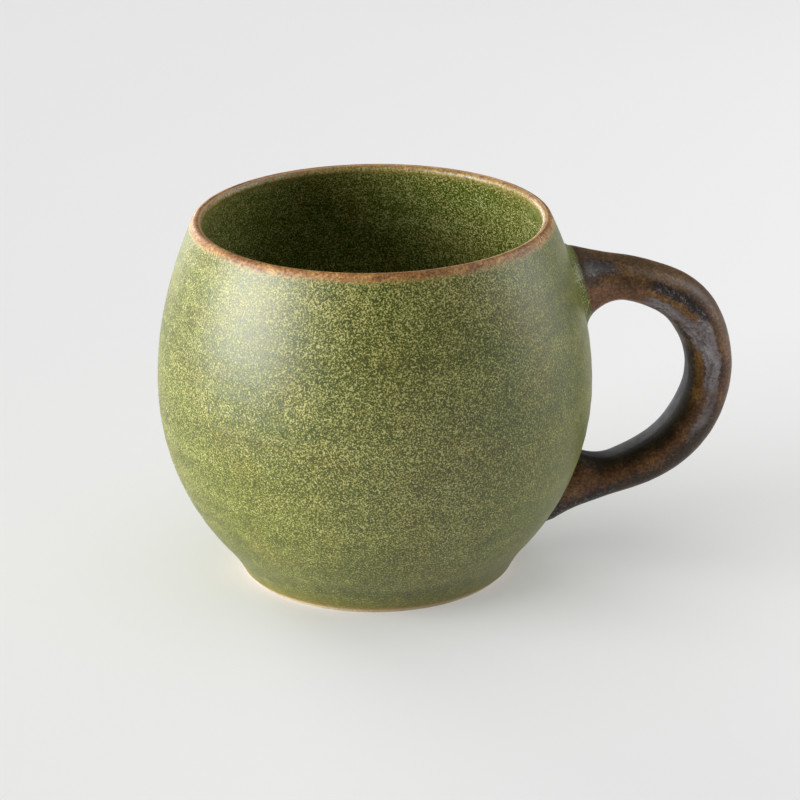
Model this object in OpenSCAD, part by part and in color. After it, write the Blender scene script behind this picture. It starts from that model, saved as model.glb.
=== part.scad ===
// Round-bellied stoneware mug with a strap handle.
// Millimetres, +Z up. The origin is on the cup's axis, on the plane that the foot stands on.
// The handle points towards +X. Surfaces are named at the outside of the glaze; the clay
// lies one glaze thickness below them.

/* [Cup] */
// Height from the foot to the top of the lip
cup_h = 80.3; // [78:0.1:84]
// Diameter of the belly at its widest
belly_d = 95; // [92:0.5:98]
// Height of the widest point of the belly
belly_z = 42.7; // [41.5:0.1:44]
// Radius of the outside curve below the widest point
lower_curve_r = 53.2; // [51:0.2:56]
// Radius of the outside curve above the widest point
upper_curve_r = 77; // [72:0.5:82]
// Height where the flatter shoulder curve begins
shoulder_z = 61; // [58:0.5:66]
// Radius of the shoulder curve
shoulder_curve_r = 110; // [95:1:140]
// Thickness of the wall at the belly, glaze included
wall = 3.6; // [3:0.1:4.4]
// Radius of the rounded lip
lip_r = 1.15; // [0.9:0.05:1.4]

/* [Floor and foot] */
// Height of the inside floor
floor_z = 7.2; // [6.4:0.1:9]
// Radius of the curve between the inside floor and wall
floor_curve_r = 14; // [10:0.5:17]
// Height where the hollow curve above the foot begins
cove_z = 8; // [6:0.5:10]
// Radius of the hollow curve above the foot
cove_r = 32; // [26:1:50]
// Radius of the recess under the foot
recess_r = 24.6; // [22:0.2:26]
// Depth of the recess under the foot
recess_depth = 2.2; // [1.5:0.1:2.8]
// Width of the bevel on both edges of the foot
foot_bevel = 0.6; // [0.3:0.1:1]

/* [Handle] */
// Height of the strap's centre where it leaves the upper wall
handle_z = 63.8; // [63:0.1:64.6]
// Distance from the cup's axis to where the strap begins to bend
handle_start_x = 46.5; // [46:0.1:48]
// Thickness of the strap at the outer bend, glaze included
strap_t = 10.6; // [9.5:0.1:11.5]
// Thickness of the strap's upper run, glaze included
upper_run_t = 9.5; // [8.5:0.1:10.5]
// Thickness of the strap's lower run, glaze included
lower_run_t = 7.2; // [6.6:0.1:8.4]
// Width of the strap, glaze included
strap_w = 13.6; // [12:0.2:15]
// How far the strap flares all round where it leaves the upper wall
upper_flare = 2.4; // [1.5:0.1:3]
// How far the strap flares all round where it meets the lower wall
lower_flare = 1.2; // [0.6:0.1:1.8]
// Length of the strap over which it flares
flare_length = 9; // [6:0.5:11]

/* [Joints and glaze] */
// Thickness of the slip between the wall and each handle end
slip_t = 1.1; // [0.8:0.1:1.4]
// How far the slip bead stands out round the flare of each handle end
slip_bead = 0.8; // [0.5:0.1:1.5]
// Thickness of every glaze coat
glaze_t = 0.4; // [0.3:0.05:0.5]
// Height below which the foot is left bare
bare_foot_h = 0.9; // [0.8:0.1:2]
// Height of the lower edge of the brown glaze on the lip
lip_band_z = 78.4; // [76.5:0.1:78.6]

/* [Hidden] */
$fn = 180;

clay = [0.86, 0.80, 0.69];
slip = [0.78, 0.71, 0.60];
green = [0.47, 0.50, 0.29];
dark_green = [0.30, 0.34, 0.17];
rim_brown = [0.52, 0.38, 0.24];
handle_brown = [0.33, 0.24, 0.19];

// Larger than the mug in every direction
far = 200;

// The strap's bends, from the upper run to the lower one: [radius, sweep in degrees]
bends = [[39, 32], [15, 32], [24, 99]];
// Straight lengths of the strap above the bends and below them, ends inside the wall
upper_run = 7.5;
lower_run = 27;
// How much of each straight length lies inside the wall
root_depth = 6;
// Degrees of bend and length of straight between neighbouring rings, and points in each ring
bend_step = 6;
run_step = 2.5;
ring_points = 28;
// Squareness of the strap's oval: 2 is an ellipse, and larger is squarer
oval_power = 2.5;
// Length of the plugs that shape the slip, and half the flat on their ends
plug_length = 15;
plug_flat = 1.2;

// How far neighbouring curves of the cup overlap, so that they cross and don't only touch
lap = 0.01;

function micron(v) = round(v * 1000) / 1000;

// Each outside curve of the cup is an arc: [centre from the axis, centre height, radius].
// Neighbouring arcs have the same direction, within a degree or so, where they meet.
belly_r = belly_d / 2;
lower_arc = [belly_r - lower_curve_r, belly_z, lower_curve_r];
upper_arc = [belly_r - upper_curve_r, belly_z, upper_curve_r];

shoulder_a = asin((shoulder_z - belly_z) / upper_curve_r);
shoulder_shift = upper_curve_r - shoulder_curve_r - lap;
shoulder_arc = [upper_arc[0] + shoulder_shift * cos(shoulder_a),
                upper_arc[1] + shoulder_shift * sin(shoulder_a),
                shoulder_curve_r];

cove_a = asin((cove_z - belly_z) / lower_curve_r);
cove_shift = lower_curve_r + cove_r - lap;
cove_arc = [lower_arc[0] + cove_shift * cos(cove_a),
            lower_arc[1] + cove_shift * sin(cove_a),
            cove_r];

// The lip's centre lies one lip radius, less the overlap, inside the shoulder curve
lip_z = cup_h - lip_r;
lip_inset = lip_r - lap;
lip_x = shoulder_arc[0] + sqrt(pow(shoulder_curve_r - lip_inset, 2) - pow(lip_z - shoulder_arc[1], 2));

// Inside curves: vertical at the belly, and running into the lip above and the floor curve below
inner_belly_r = belly_r - wall;
inner_lower_arc = [lower_arc[0], belly_z, lower_curve_r - wall];
inner_rise = lip_z - belly_z;
inner_run = inner_belly_r - lip_x;
inner_upper_r = micron((pow(inner_run, 2) + pow(inner_rise, 2) - pow(lip_inset, 2))
                       / (2 * (lip_inset + inner_run)));
inner_upper_arc = [inner_belly_r - inner_upper_r, belly_z, inner_upper_r];
floor_arc_z = floor_z + floor_curve_r;
floor_arc_reach = inner_lower_arc[2] - floor_curve_r + lap;
floor_arc = [inner_lower_arc[0] + sqrt(pow(floor_arc_reach, 2) - pow(belly_z - floor_arc_z, 2)),
             floor_arc_z, floor_curve_r];
floor_a = asin((floor_arc_z - belly_z) / floor_arc_reach);

// Directions from the curves' centres to the lip's centre
lip_out_a = asin((lip_z - shoulder_arc[1]) / (shoulder_curve_r - lip_inset));
lip_in_a = asin((lip_z - belly_z) / (inner_upper_r + lip_inset));

// Centre and starting angle of each bend of the strap, in the XZ plane
function unit(a) = [cos(a), sin(a)];
function bend_start(i) = i == 0 ? 90 : bend_start(i - 1) - bends[i - 1][1];
function bend_centre(i) =
    i == 0 ? [handle_start_x, handle_z - bends[0][0]]
           : bend_centre(i - 1) + (bends[i - 1][0] - bends[i][0]) * unit(bend_start(i));
last_bend = len(bends) - 1;
lower_a = bend_start(last_bend) - bends[last_bend][1];
lower_run_start = bend_centre(last_bend) + bends[last_bend][0] * unit(lower_a);

// Length of strap that a bend takes, and that all of the strap takes up to a bend
function bend_length(i) = bends[i][0] * bends[i][1] * PI / 180;
function length_to(i) = i == 0 ? upper_run : length_to(i - 1) + bend_length(i - 1);
strap_length = length_to(last_bend + 1) + lower_run;

// Stations along the strap: [x, z, angle of the outward normal, length so far]
function bend_stations(i) = [
    let (steps = ceil(bends[i][1] / bend_step))
    for (k = [1 : steps])
        let (a = bend_start(i) - bends[i][1] * k / steps, p = bend_centre(i) + bends[i][0] * unit(a))
        [p[0], p[1], a, length_to(i) + bend_length(i) * k / steps]
];
function run_stations(start, heading, a, length, so_far) = [
    let (steps = ceil(length / run_step))
    for (k = [1 : steps])
        let (d = length * k / steps)
        [start[0] + d * cos(heading), start[1] + d * sin(heading), a, so_far + d]
];
upper_end = [handle_start_x - upper_run, handle_z];
stations = concat(
    [[upper_end[0], upper_end[1], 90, 0]],
    run_stations(upper_end, 0, 90, upper_run, 0),
    [for (i = [0 : last_bend]) each bend_stations(i)],
    run_stations(lower_run_start, lower_a - 90, lower_a, lower_run, length_to(last_bend + 1)));

// Half thickness and extra half width of the strap, a length along it
function from_wall(s) = max(0, min(s, strap_length - s) - root_depth);
function end_flare(s) = s < strap_length / 2 ? upper_flare : lower_flare;
function flare_at(s) = end_flare(s) * pow(max(0, 1 - from_wall(s) / flare_length), 2);
function run_t(s) = upper_run_t + (lower_run_t - upper_run_t) * s / strap_length;
function thickness_at(s) = run_t(s) + (strap_t - run_t(s)) * pow(sin(180 * s / strap_length), 2);

// A point of the oval, for an angle round it
function oval_part(v) = sign(v) * pow(abs(v), 2 / oval_power);
function oval_point(half_t, half_w, a) = [half_t * oval_part(cos(a)), half_w * oval_part(sin(a))];

// One ring of points round the strap, grown by the given distance
function ring(station, grow) = [
    let (g = grow + flare_at(station[3]), n = unit(station[2]))
    for (k = [0 : ring_points - 1])
        let (p = oval_point(thickness_at(station[3]) / 2 + g, strap_w / 2 + g, 360 * k / ring_points))
        [station[0] + p[0] * n[0], p[1], station[1] + p[0] * n[1]]
];

// ---- Half-sections of the cup. X is the distance from the axis and Y is the height. ----

// The part of a shape between two heights, to the nearest micron
module between(low, high) {
    intersection() {
        children();
        translate([0, micron(low)]) square([far, micron(high) - micron(low)]);
    }
}

module arc_disc(arc, grow) {
    translate([arc[0], arc[1]]) circle(r = arc[2] + grow);
}

// Everything inside the outside surface, which is sunk by the given depth (or raised, if negative)
module outside(depth) {
    difference() {
        union() {
            square([cove_arc[0], cove_z - depth * sin(cove_a)]);
            between(0, belly_z) arc_disc(lower_arc, -depth);
        }
        arc_disc(cove_arc, depth);
    }
    between(belly_z, far) arc_disc(upper_arc, -depth);
    between(shoulder_z - depth * sin(shoulder_a), far) arc_disc(shoulder_arc, -depth);
}

// The space inside the cup, grown into the wall by the given depth
module cavity(depth) {
    corner_top = floor_arc[1] + (floor_arc[2] + depth) * sin(floor_a);
    between(floor_z - depth, belly_z) {
        square([floor_arc[0], far]);
        arc_disc(floor_arc, depth);
    }
    between(corner_top, belly_z) arc_disc(inner_lower_arc, depth);
    between(belly_z, cup_h + 1) arc_disc(inner_upper_arc, depth);
}

// The turned recess under the foot, grown into the clay by the given depth
module recess(depth) {
    square([recess_r + depth, recess_depth + depth]);
    polygon([[0, 0], [recess_r + depth + foot_bevel, 0], [recess_r + depth, foot_bevel], [0, foot_bevel]]);
}

// Everything below the line that joins the ends of the outside and inside curves at the lip
module below_lip() {
    inner_end = [lip_x, lip_z] - lip_inset * unit(lip_in_a);
    outer_end = [lip_x, lip_z] + lip_inset * unit(lip_out_a);
    slope = (outer_end[1] - inner_end[1]) / (outer_end[0] - inner_end[0]);
    polygon([[0, 0], [far, 0], [far, outer_end[1] + slope * (far - outer_end[0])],
             [0, inner_end[1] - slope * inner_end[0]]]);
}

// Wall, lip and floor in one outline, with every surface but the underside sunk by the depth
module cup_section(depth) {
    intersection() {
        difference() {
            outside(depth);
            cavity(depth);
        }
        below_lip();
    }
    translate([lip_x, lip_z]) circle(r = lip_r - depth);
}

module foot_edge_bevel() {
    foot_r = cove_arc[0] - sqrt(pow(cove_r + glaze_t, 2) - pow(cove_arc[1], 2));
    polygon([[foot_r - foot_bevel, -1], [foot_r - foot_bevel, 0], [foot_r + foot_bevel, 2 * foot_bevel],
             [far, 2 * foot_bevel], [far, -1]]);
}

// Solid of the cup's outside surface
module cup_envelope(depth) {
    rotate_extrude() outside(depth);
}

// ---- The strap of the handle ----

// Triangles between neighbouring rings of a sweep whose points start at the given index
function side_faces(first, last, inward) = [
    for (i = [0 : last - 1], k = [0 : ring_points - 1])
        let (a = first + i * ring_points, b = a + ring_points, next = (k + 1) % ring_points)
        each inward ? [[a + k, a + next, b + k], [a + next, b + next, b + k]]
                    : [[a + k, b + k, a + next], [a + next, b + k, b + next]]
];

// The whole strap, with both ends inside the wall
module strap_sweep(grow) {
    last = len(stations) - 1;
    points = [for (station = stations) each ring(station, grow)];
    first_cap = [for (k = [0 : ring_points - 1]) k];
    last_cap = [for (k = [ring_points - 1 : -1 : 0]) last * ring_points + k];
    polyhedron(points, concat(side_faces(0, last, false), [first_cap, last_cap]));
}

// A coat on the whole strap, from its surface down to one glaze thickness below it
module strap_coat() {
    last = len(stations) - 1;
    core = len(stations) * ring_points;
    points = [for (grow = [0, -glaze_t], station = stations) each ring(station, grow)];
    first_edge = [
        for (k = [0 : ring_points - 1])
            let (next = (k + 1) % ring_points)
            each [[k, next, core + k], [next, core + next, core + k]]
    ];
    last_edge = [
        for (k = [0 : ring_points - 1])
            let (a = last * ring_points, next = (k + 1) % ring_points)
            each [[a + k, core + a + k, a + next], [a + next, core + a + k, core + a + next]]
    ];
    polyhedron(points, concat(side_faces(0, last, false), side_faces(core, last, true), first_edge, last_edge));
}

// The part of a strap shape that is outside the slip on the wall
module off_the_wall() {
    difference() {
        children();
        cup_envelope(glaze_t - slip_t);
    }
}

// A plug along one end of the strap, wider than its flare by the slip bead all round
module root_plug(point, heading, thickness, flare) {
    t = thickness + 2 * (flare + slip_bead);
    w = strap_w + 2 * (flare + slip_bead);
    r = t / 2 - plug_flat;
    translate([point[0], 0, point[1]])
        rotate([0, 90 - heading, 0])
            linear_extrude(height = plug_length) {
                square([t - 2 * r, w], center = true);
                square([t, w - 2 * r], center = true);
                for (x = [-1, 1], y = [-1, 1])
                    translate([x * (t / 2 - r), y * (w / 2 - r)]) circle(r = r);
            }
}

module upper_plug() {
    root_plug(upper_end, 0, upper_run_t, upper_flare);
}

module lower_plug() {
    lower_end = stations[len(stations) - 1];
    root_plug(lower_end, lower_a + 90, lower_run_t, lower_flare);
}

// Slip between the wall and a strap end, squeezed out in a bead round it
module slip_pad() {
    difference() {
        intersection() {
            children();
            cup_envelope(glaze_t - slip_t);
        }
        cup_envelope(glaze_t);
    }
}

// ---- The sub-parts ----

module cup_body() {
    color(clay)
        rotate_extrude() difference() {
            cup_section(glaze_t);
            recess(glaze_t);
            foot_edge_bevel();
        }
}

module handle() {
    color(clay) off_the_wall() strap_sweep(-glaze_t);
}

module upper_joint_slip() {
    color(slip) slip_pad() upper_plug();
}

module lower_joint_slip() {
    color(slip) slip_pad() lower_plug();
}

// Green coat on the outside, open where the handle is joined on
module outer_glaze() {
    color(green) difference() {
        rotate_extrude() between(bare_foot_h, lip_band_z) difference() {
            outside(0);
            outside(glaze_t);
        }
        upper_plug();
        lower_plug();
    }
}

// Green coat on the inside wall and floor
module liner_glaze() {
    color(dark_green)
        rotate_extrude() between(0, lip_band_z) difference() {
            cavity(glaze_t);
            cavity(0);
        }
}

// Brown band over the lip
module rim_glaze() {
    color(rim_brown)
        rotate_extrude() between(lip_band_z, far) difference() {
            cup_section(0);
            cup_section(glaze_t);
        }
}

// Brown coat on the strap
module handle_glaze() {
    color(handle_brown) off_the_wall() strap_coat();
}

// Green coat on the ceiling of the recess under the foot
module base_glaze() {
    color(dark_green)
        translate([0, 0, recess_depth])
            cylinder(r = recess_r + glaze_t, h = glaze_t);
}

cup_body();
handle();
upper_joint_slip();
lower_joint_slip();
outer_glaze();
liner_glaze();
rim_glaze();
handle_glaze();
base_glaze();
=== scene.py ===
"""The look of a round-bellied stoneware mug: speckled green glaze, brown lip, brown strap handle.

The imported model's frame: +Z up, the handle towards +X, the foot on z = 0. The shape is worked out in
millimetres, and each mesh is made in metres.
"""

import math

import bpy
import numpy as np
from mathutils import Matrix, Vector, noise


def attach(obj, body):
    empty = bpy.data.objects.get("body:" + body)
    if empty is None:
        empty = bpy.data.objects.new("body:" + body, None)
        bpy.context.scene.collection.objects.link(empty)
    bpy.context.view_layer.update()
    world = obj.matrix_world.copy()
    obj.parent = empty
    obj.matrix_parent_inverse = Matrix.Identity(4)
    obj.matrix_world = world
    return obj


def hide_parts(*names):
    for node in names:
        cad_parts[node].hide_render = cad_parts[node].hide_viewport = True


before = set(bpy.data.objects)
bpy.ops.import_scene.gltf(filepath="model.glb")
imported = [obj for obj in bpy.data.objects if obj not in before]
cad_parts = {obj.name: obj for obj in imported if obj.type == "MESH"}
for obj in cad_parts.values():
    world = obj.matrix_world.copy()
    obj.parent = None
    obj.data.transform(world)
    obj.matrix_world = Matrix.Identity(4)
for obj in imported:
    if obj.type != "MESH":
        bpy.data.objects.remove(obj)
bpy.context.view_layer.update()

MM = 0.001

# ---- Sizes of the cup, in millimetres ----

CUP_H = 80.3
BELLY_R = 47.5
BELLY_Z = 42.7
LOWER_CURVE_R = 53.2
UPPER_CURVE_R = 77.0
SHOULDER_Z = 61.0
SHOULDER_CURVE_R = 110.0
COVE_Z = 8.0
COVE_R = 32.0
WALL = 3.6
LIP_R = 1.15
FLOOR_Z = 7.2
FLOOR_CURVE_R = 14.0
GLAZE = 0.4
RIM_SEAM_Z = 78.4
GLAZE_EDGE_Z = 0.85
GLAZE_EDGE = 0.06
GLAZE_EDGE_LENGTH = 0.55
FOOT_OUT_R = 29.1
FOOT_IN_R = 25.3
RECESS_R = 25.0
RECESS_Z = 2.6

# The belly is kept this far inside the CAD surface, so that rings thrown in it stay inside too
INSET = 0.05
RING_DEPTH = 0.020
RING_PITCH = 4.3
INNER_RING_DEPTH = 0.03
INNER_RING_PITCH = 5.2
LIP_WAVE = 0.03

# The hand-thrown cup's mouth is this far off its axis, in the direction (x, y)
LEAN = 0.27
LEAN_DIRECTION = (-0.985, 0.174)

# ---- Sizes of the strap, in millimetres and degrees ----

BENDS = [(39.0, 32.0), (15.0, 32.0), (24.0, 99.0)]
UPPER_RUN = 7.5
LOWER_RUN = 27.0
ROOT_DEPTH = 6.0
HANDLE_X = 46.5
HANDLE_Z = 63.8
STRAP_T = 10.6
UPPER_RUN_T = 9.5
LOWER_RUN_T = 7.2
STRAP_W = 13.6
UPPER_FLARE = 2.4
LOWER_FLARE = 1.2
FLARE_LENGTH = 9.0
BEND_BLUR = 4.0
STRAP_INSET = 0.08
STRAP_DENT = 0.28
FILLET_EDGE_SINK = 0.22

# How the strap's inner face thickens towards a wall: how much, over what length, and at most
UPPER_INNER_FLARE = (7.0, 11.8, 5.0)
LOWER_INNER_FLARE = (20.0, 18.0, 4.2)
UPPER_OUTER_FLARE = 1.3
LOWER_OUTER_FLARE = 0.7

# ---- Fineness of the meshes ----

AROUND = 256
STRAP_AROUND = 80
STRAP_ROWS = 150
FILLET_ROWS = 10


# ---- The cup's section ----


def arc_r(arc, z, side=1):
    """Distance from the axis to an arc [centre r, centre z, radius] at a height."""
    return arc[0] + side * math.sqrt(max(arc[2] ** 2 - (z - arc[1]) ** 2, 0.0))


LOWER_ARC = (BELLY_R - LOWER_CURVE_R, BELLY_Z, LOWER_CURVE_R)
UPPER_ARC = (BELLY_R - UPPER_CURVE_R, BELLY_Z, UPPER_CURVE_R)
SHOULDER_A = math.asin((SHOULDER_Z - BELLY_Z) / UPPER_CURVE_R)
SHOULDER_ARC = (
    UPPER_ARC[0] + (UPPER_CURVE_R - SHOULDER_CURVE_R) * math.cos(SHOULDER_A),
    BELLY_Z + (UPPER_CURVE_R - SHOULDER_CURVE_R) * math.sin(SHOULDER_A),
    SHOULDER_CURVE_R,
)
COVE_A = math.asin((COVE_Z - BELLY_Z) / LOWER_CURVE_R)
COVE_ARC = (
    LOWER_ARC[0] + (LOWER_CURVE_R + COVE_R) * math.cos(COVE_A),
    BELLY_Z + (LOWER_CURVE_R + COVE_R) * math.sin(COVE_A),
    COVE_R,
)
LIP_Z = CUP_H - LIP_R
LIP_X = SHOULDER_ARC[0] + math.sqrt((SHOULDER_CURVE_R - LIP_R) ** 2 - (LIP_Z - SHOULDER_ARC[1]) ** 2)
INNER_BELLY_R = BELLY_R - WALL
INNER_RUN = INNER_BELLY_R - LIP_X
INNER_UPPER_R = (INNER_RUN**2 + (LIP_Z - BELLY_Z) ** 2 - LIP_R**2) / (2 * (LIP_R + INNER_RUN))
INNER_UPPER_ARC = (INNER_BELLY_R - INNER_UPPER_R, BELLY_Z, INNER_UPPER_R)
INNER_LOWER_ARC = (LOWER_ARC[0], BELLY_Z, LOWER_CURVE_R - WALL)
FLOOR_REACH = INNER_LOWER_ARC[2] - FLOOR_CURVE_R
FLOOR_ARC_Z = FLOOR_Z + FLOOR_CURVE_R
FLOOR_ARC = (
    INNER_LOWER_ARC[0] + math.sqrt(FLOOR_REACH**2 - (BELLY_Z - FLOOR_ARC_Z) ** 2),
    FLOOR_ARC_Z,
    FLOOR_CURVE_R,
)
CORNER_A = math.asin((FLOOR_ARC_Z - BELLY_Z) / FLOOR_REACH)
LIP_OUT_A = math.asin((LIP_Z - SHOULDER_ARC[1]) / (SHOULDER_CURVE_R - LIP_R))
LIP_IN_A = math.asin((LIP_Z - BELLY_Z) / (INNER_UPPER_R + LIP_R))


def outer_r(z):
    """Radius of the outside surface at a height."""
    if z < COVE_Z:
        return arc_r(COVE_ARC, z, -1)
    if z < BELLY_Z:
        return arc_r(LOWER_ARC, z)
    if z < SHOULDER_Z:
        return arc_r(UPPER_ARC, z)
    return arc_r(SHOULDER_ARC, z)


def outer_normal(z):
    """Outward direction of the outside surface at a height, as (r, z)."""
    r = outer_r(z)
    if z < COVE_Z:
        return ((COVE_ARC[0] - r) / COVE_R, (COVE_ARC[1] - z) / COVE_R)
    arc = LOWER_ARC if z < BELLY_Z else UPPER_ARC if z < SHOULDER_Z else SHOULDER_ARC
    return ((r - arc[0]) / arc[2], (z - arc[1]) / arc[2])


def smooth(low, high, v):
    """0 below low, 1 above high, and a smooth rise between."""
    t = min(max((v - low) / (high - low), 0.0), 1.0)
    return t * t * (3 - 2 * t)


def throwing_ring(z, angle):
    """Depth of the faint rings that the potter's fingers left, always inwards."""
    sway = 1.1 * math.sin(z / 8.5 + 1.0) + 0.25 * math.sin(angle + z / 20)
    depth = RING_DEPTH * smooth(8, 16, z) * (1 - 0.75 * smooth(48, 66, z))
    return -INSET - depth * (1 - math.sin(2 * math.pi * z / RING_PITCH + sway))


def lean(z):
    """How far the hand-thrown cup's axis strays from the Z axis at a height, as (x, y)."""
    off = LEAN * smooth(35, 80, z)
    return off * LEAN_DIRECTION[0], off * LEAN_DIRECTION[1]


def turned(r, z, angle):
    """A point of the cup, in millimetres."""
    dx, dy = lean(z)
    return (r * math.cos(angle) + dx, r * math.sin(angle) + dy, z)


def above_wall(p):
    """Distance of a point outside the cup's surface, along the radius."""
    dx, dy = lean(p[2])
    return math.hypot(p[0] - dx, p[1] - dy) - outer_r(p[2]) + INSET


def on_wall(p, height):
    """The point moved along the radius until it is at a height over the cup's surface."""
    dx, dy = lean(p[2])
    x, y = p[0] - dx, p[1] - dy
    k = (outer_r(p[2]) - INSET + height) / math.hypot(x, y)
    return np.array([x * k + dx, y * k + dy, p[2]])


# ---- Mesh making ----


def make_mesh(name, points, faces, sharp=50):
    """An object with smooth shading from points in millimetres, creased at edges over an angle."""
    mesh = bpy.data.meshes.new(name)
    mesh.from_pydata([tuple(c * MM for c in p) for p in points], [], faces)
    mesh.validate()
    mesh.shade_smooth()
    mesh.set_sharp_from_angle(angle=math.radians(sharp))
    piece = bpy.data.objects.new(name, mesh)
    bpy.context.scene.collection.objects.link(piece)
    return piece


def ring_faces(a, b, count):
    """Quads between two rings of points that start at a and b."""
    return [(a + j, a + (j + 1) % count, b + (j + 1) % count, b + j) for j in range(count)]


def shell(name, outer, inner, open_cell=None, sharp=50):
    """A closed coat between two grids of rings. Cells for which open_cell is true are left out."""
    rows, cols = outer.shape[:2]
    points = np.concatenate([outer.reshape(-1, 3), inner.reshape(-1, 3)])
    deep = rows * cols
    kept = np.ones((rows - 1, cols), bool)
    if open_cell is not None:
        for i in range(rows - 1):
            for j in range(cols):
                kept[i, j] = not open_cell((outer[i, j] + outer[i + 1, (j + 1) % cols]) / 2)
    faces = []
    for i in range(rows - 1):
        for j in range(cols):
            if not kept[i, j]:
                continue
            k = (j + 1) % cols
            a, b, c, d = i * cols + j, i * cols + k, (i + 1) * cols + k, (i + 1) * cols + j
            faces.append((a, b, c, d))
            faces.append((deep + d, deep + c, deep + b, deep + a))
            if i == 0 or not kept[i - 1, j]:
                faces.append((deep + a, deep + b, b, a))
            if i == rows - 2 or not kept[i + 1, j]:
                faces.append((d, c, deep + c, deep + d))
            if not kept[i, j - 1]:
                faces.append((a, d, deep + d, deep + a))
            if not kept[i, k]:
                faces.append((deep + b, deep + c, c, b))
    used = sorted({v for face in faces for v in face})
    place = {v: n for n, v in enumerate(used)}
    faces = [tuple(place[v] for v in face) for face in faces]
    piece = make_mesh(name, points[used], faces, sharp)
    return piece, used


def solid(name, rings, first_pole, last_pole, sharp=50):
    """A closed solid through a stack of rings, with a point at each end."""
    rows, cols = rings.shape[:2]
    points = np.concatenate([rings.reshape(-1, 3), [first_pole, last_pole]])
    first, last = rows * cols, rows * cols + 1
    faces = []
    for i in range(rows - 1):
        faces += ring_faces(i * cols, (i + 1) * cols, cols)
    top = (rows - 1) * cols
    faces += [(first, (j + 1) % cols, j) for j in range(cols)]
    faces += [(last, top + j, top + (j + 1) % cols) for j in range(cols)]
    return make_mesh(name, points, faces, sharp)


def revolved(section, around=AROUND, wobble=None):
    """Rings of points from a section of (r, z) points."""
    rings = []
    for r, z in section:
        ring = []
        for j in range(around):
            angle = 2 * math.pi * j / around
            extra = wobble(z, angle) if wobble else 0.0
            ring.append(turned(r + extra, z, angle))
        rings.append(ring)
    return np.array(rings)


def arc_points(arc, start, end, count):
    """Points (r, z) along an arc between two angles in radians."""
    angles = [start + (end - start) * i / count for i in range(count + 1)]
    return [(arc[0] + arc[2] * math.cos(a), arc[1] + arc[2] * math.sin(a)) for a in angles]


def wall_point(z, depth):
    """A point (r, z) sunk below the outside surface."""
    nr, nz = outer_normal(z)
    return outer_r(z) - depth * nr, z - depth * nz


def spaced(low, high, step):
    count = max(1, round((high - low) / step))
    return [low + (high - low) * i / count for i in range(count + 1)]


# ---- The cup's pieces ----


def edge_thickness(z):
    """Thickness of the green coat, which rounds off where it stops above the foot."""
    t = min(1.0, (z - GLAZE_EDGE_Z) / GLAZE_EDGE_LENGTH)
    return GLAZE_EDGE + (GLAZE - GLAZE_EDGE) * math.sqrt(max(1 - (1 - t) ** 2, 0.0))


def green_coat(root_outlines):
    heights = spaced(GLAZE_EDGE_Z, 1.6, 0.1) + spaced(1.6, RIM_SEAM_Z, 0.72)[1:]
    front = [wall_point(z, GLAZE - edge_thickness(z)) for z in heights]
    back = [wall_point(z, GLAZE) for z in heights]
    outer = revolved(front, wobble=throwing_ring)
    inner = revolved(back, wobble=throwing_ring)

    def under_root(p):
        return any(p[0] > 0 and inside((p[1], p[2]), outline) for outline in root_outlines)

    piece, _ = shell("outer_glaze_coat", outer, inner, open_cell=under_root)
    return piece


def lip_section(depth, step):
    """The section over the lip, sunk by a depth, from the outside seam to the inside one."""
    arc = (LIP_X, LIP_Z, LIP_R - depth)
    outside = []
    for z in spaced(RIM_SEAM_Z, LIP_Z + LIP_R * math.sin(LIP_OUT_A), step)[:-1]:
        outside.append(wall_point(z, depth))
    over = arc_points(arc, LIP_OUT_A, LIP_IN_A + math.pi, 20)
    inside_arc = (INNER_UPPER_ARC[0], INNER_UPPER_ARC[1], INNER_UPPER_R + depth)
    top_a = math.asin((over[-1][1] - BELLY_Z) / inside_arc[2])
    seam_a = math.asin((RIM_SEAM_Z - BELLY_Z) / inside_arc[2])
    return outside + over + arc_points(inside_arc, top_a, seam_a, len(outside))[1:]


def rim_wobble(z, angle):
    """The lip's slight unevenness, always inwards."""
    wave = math.sin(3 * angle + 1) + 0.7 * math.sin(5 * angle + 2) + 0.5 * math.sin(9 * angle)
    return -INSET - LIP_WAVE * (1 + wave / 2.2) * smooth(RIM_SEAM_Z, LIP_Z, z)


def rim_coat():
    outer = revolved(lip_section(0, 0.25), wobble=rim_wobble)
    inner = revolved(lip_section(GLAZE, 0.25), wobble=rim_wobble)
    piece, _ = shell("rim_glaze_band", outer, inner)
    return piece


def cavity_section(depth, low_step, high_step):
    """The inside surface, sunk by a depth, from the rim seam down to the floor's flat part."""
    upper = (INNER_UPPER_ARC[0], BELLY_Z, INNER_UPPER_R + depth)
    lower = (INNER_LOWER_ARC[0], BELLY_Z, INNER_LOWER_ARC[2] + depth)
    corner = (FLOOR_ARC[0], FLOOR_ARC[1], FLOOR_CURVE_R + depth)
    seam_a = math.asin((RIM_SEAM_Z - BELLY_Z) / upper[2])
    points = arc_points(upper, seam_a, 0, high_step)
    points += arc_points(lower, 0, CORNER_A, low_step)[1:]
    points += arc_points(corner, CORNER_A, -math.pi / 2, 18)[1:]
    flat = [points[-1][0] * k for k in (0.86, 0.7, 0.52, 0.34, 0.16)]
    return points + [(r, FLOOR_Z - depth) for r in flat]


def cavity_wobble(z, angle):
    """The fainter rings of the inside wall."""
    sway = 0.9 * math.sin(z / 7 + 2) + 0.3 * math.sin(angle + z / 15)
    depth = INNER_RING_DEPTH * smooth(14, 24, z) * (1 - smooth(60, 74, z))
    return -INSET + depth * math.sin(2 * math.pi * z / INNER_RING_PITCH + sway)


def liner_coat():
    back = cavity_section(GLAZE, 30, 40)[::-1]
    front = cavity_section(0, 30, 40)
    rings = revolved(back + front, wobble=cavity_wobble)
    return solid("liner_glaze_coat", rings, (0, 0, FLOOR_Z - GLAZE), (0, 0, FLOOR_Z))


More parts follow.
